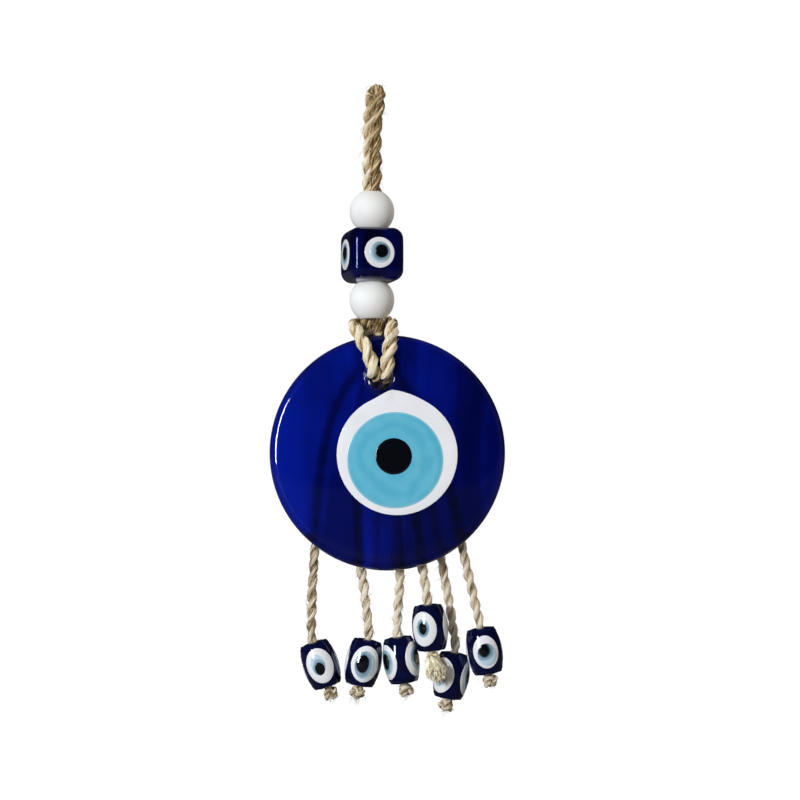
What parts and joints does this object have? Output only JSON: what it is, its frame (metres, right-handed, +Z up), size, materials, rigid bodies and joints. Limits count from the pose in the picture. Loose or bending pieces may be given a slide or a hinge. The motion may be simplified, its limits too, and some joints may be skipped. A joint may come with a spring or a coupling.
{
  "type": "evil eye ornament",
  "caption": "Cobalt glass eye disc hung from a looped jute rope through stacked beads, with beaded jute twine tassels behind and below it; wall or door charm.",
  "frame": {"origin": "where the top of the hanging loop bears on its nail", "axes": "+Z up along the hanging direction, the disc's eye faces -Y, +X is the viewer's right"},
  "size_m": [0.0834, 0.0281, 0.2231],
  "materials": {
    "jute_rope": "natural two-ply jute rope, hairy",
    "jute_twine": "natural two-ply jute twine, hairy",
    "white_bead": "matt white",
    "cobalt_glass": "deep cobalt glass, fire polished, streaked",
    "dark_blue_glass": "dark navy glass, glossy",
    "white_glass": "opaque white glass, glossy",
    "sky_blue_glass": "opaque light blue glass, glossy, faintly swirled",
    "grey_blue_glass": "opaque grey-blue glass, glossy",
    "black_glass": "opaque black glass, glossy"
  },
  "bodies": {
    "hanging_loop_body": {"hanging_cord": "jute_rope"},
    "lower_bead_body": {"lower_bead": "white_bead"},
    "cube_bead_body": {"cube_bead": "cobalt_glass", "cube_bead_whites": "white_glass", "cube_bead_irises": "grey_blue_glass", "cube_bead_pupils": "black_glass"},
    "upper_bead_body": {"upper_bead": "white_bead"},
    "disc_body": {"glass_disc": "cobalt_glass", "disc_white": "white_glass", "disc_iris": "sky_blue_glass", "disc_pupil": "black_glass", "hitch_cord": "jute_rope", "tassel_knot": "jute_twine", "twine_1_behind_disc": "jute_twine", "twine_2_behind_disc": "jute_twine", "twine_3_behind_disc": "jute_twine", "twine_4_behind_disc": "jute_twine", "twine_5_behind_disc": "jute_twine", "twine_6_behind_disc": "jute_twine"},
    "tassel_1": {"twine_1": "jute_twine", "end_knot_1": "jute_twine"},
    "bead_1": {"tassel_bead_1": "dark_blue_glass", "tassel_bead_1_whites": "white_glass", "tassel_bead_1_irises": "grey_blue_glass", "tassel_bead_1_pupils": "black_glass"},
    "tassel_2": {"twine_2": "jute_twine", "end_knot_2": "jute_twine"},
    "bead_2": {"tassel_bead_2": "dark_blue_glass", "tassel_bead_2_whites": "white_glass", "tassel_bead_2_irises": "grey_blue_glass", "tassel_bead_2_pupils": "black_glass"},
    "tassel_3": {"twine_3": "jute_twine", "end_knot_3": "jute_twine"},
    "bead_3": {"tassel_bead_3": "dark_blue_glass", "tassel_bead_3_whites": "white_glass", "tassel_bead_3_irises": "grey_blue_glass", "tassel_bead_3_pupils": "black_glass"},
    "tassel_4": {"twine_4": "jute_twine", "end_knot_4": "jute_twine"},
    "bead_4": {"tassel_bead_4": "dark_blue_glass", "tassel_bead_4_whites": "white_glass", "tassel_bead_4_irises": "grey_blue_glass", "tassel_bead_4_pupils": "black_glass"},
    "tassel_5": {"twine_5": "jute_twine", "end_knot_5": "jute_twine"},
    "bead_5": {"tassel_bead_5": "dark_blue_glass", "tassel_bead_5_whites": "white_glass", "tassel_bead_5_irises": "grey_blue_glass", "tassel_bead_5_pupils": "black_glass"},
    "tassel_6": {"twine_6": "jute_twine", "end_knot_6": "jute_twine"},
    "bead_6": {"tassel_bead_6": "dark_blue_glass", "tassel_bead_6_whites": "white_glass", "tassel_bead_6_irises": "grey_blue_glass", "tassel_bead_6_pupils": "black_glass"}
  },
  "joints": [
    {"name": "lower_bead_slide", "type": "slide", "parent": "hanging_loop_body", "child": "lower_bead_body", "axis": [0, 0, 1], "range_m": [0, 0.008]},
    {"name": "cube_bead_spin", "type": "hinge", "parent": "lower_bead_body", "child": "cube_bead_body", "pos_m": [-0.0013, 0, -0.0565], "axis": [0, 0, 1], "continuous": true},
    {"name": "upper_bead_slide", "type": "slide", "parent": "cube_bead_body", "child": "upper_bead_body", "axis": [0, 0, 1], "range_m": [0, 0.008]},
    {"name": "disc_twist", "type": "hinge", "parent": "hanging_loop_body", "child": "disc_body", "pos_m": [-0.0013, 0, -0.079], "axis": [0, 0, 1], "range_deg": [-45, 45]},
    {"name": "tassel_1_swing", "type": "hinge", "parent": "disc_body", "child": "tassel_1", "pos_m": [-0.0217, 0.0052, -0.1586], "axis": [1, 0, 0], "range_deg": [-25, 35]},
    {"name": "bead_1_spin", "type": "hinge", "parent": "tassel_1", "child": "bead_1", "pos_m": [-0.0195, 0.0052, -0.2018], "axis": [-0.3256, 0, 0.9455], "continuous": true},
    {"name": "tassel_2_swing", "type": "hinge", "parent": "disc_body", "child": "tassel_2", "pos_m": [-0.0055, 0.0052, -0.1664], "axis": [1, 0, 0], "range_deg": [-25, 35]},
    {"name": "bead_2_spin", "type": "hinge", "parent": "tassel_2", "child": "bead_2", "pos_m": [-0.0043, 0.0052, -0.2011], "axis": [0.1908, 0, 0.9816], "continuous": true},
    {"name": "tassel_3_swing", "type": "hinge", "parent": "disc_body", "child": "tassel_3", "pos_m": [0.0091, 0.0052, -0.1673], "axis": [1, 0, 0], "range_deg": [-25, 35]},
    {"name": "bead_3_spin", "type": "hinge", "parent": "tassel_3", "child": "bead_3", "pos_m": [0.0091, 0.0052, -0.2002], "axis": [-0.1478, 0, 0.989], "continuous": true},
    {"name": "tassel_4_swing", "type": "hinge", "parent": "disc_body", "child": "tassel_4", "pos_m": [0.0163, 0.0052, -0.1659], "axis": [1, 0, 0], "range_deg": [-25, 0]},
    {"name": "bead_4_spin", "type": "hinge", "parent": "tassel_4", "child": "bead_4", "pos_m": [0.0193, 0.0052, -0.1888], "axis": [-0.0872, 0, 0.9962], "continuous": true},
    {"name": "tassel_5_swing", "type": "hinge", "parent": "disc_body", "child": "tassel_5", "pos_m": [0.0233, 0.0106, -0.1631], "axis": [1, 0, 0], "range_deg": [0, 35]},
    {"name": "bead_5_spin", "type": "hinge", "parent": "tassel_5", "child": "bead_5", "pos_m": [0.027, 0.0106, -0.2062], "axis": [0.1564, 0, 0.9877], "continuous": true},
    {"name": "tassel_6_swing", "type": "hinge", "parent": "disc_body", "child": "tassel_6", "pos_m": [0.0304, 0.0052, -0.1585], "axis": [1, 0, 0], "range_deg": [-25, 35]},
    {"name": "bead_6_spin", "type": "hinge", "parent": "tassel_6", "child": "bead_6", "pos_m": [0.0387, 0.0052, -0.197], "axis": [-0.1736, 0, 0.9848], "continuous": true}
  ]
}
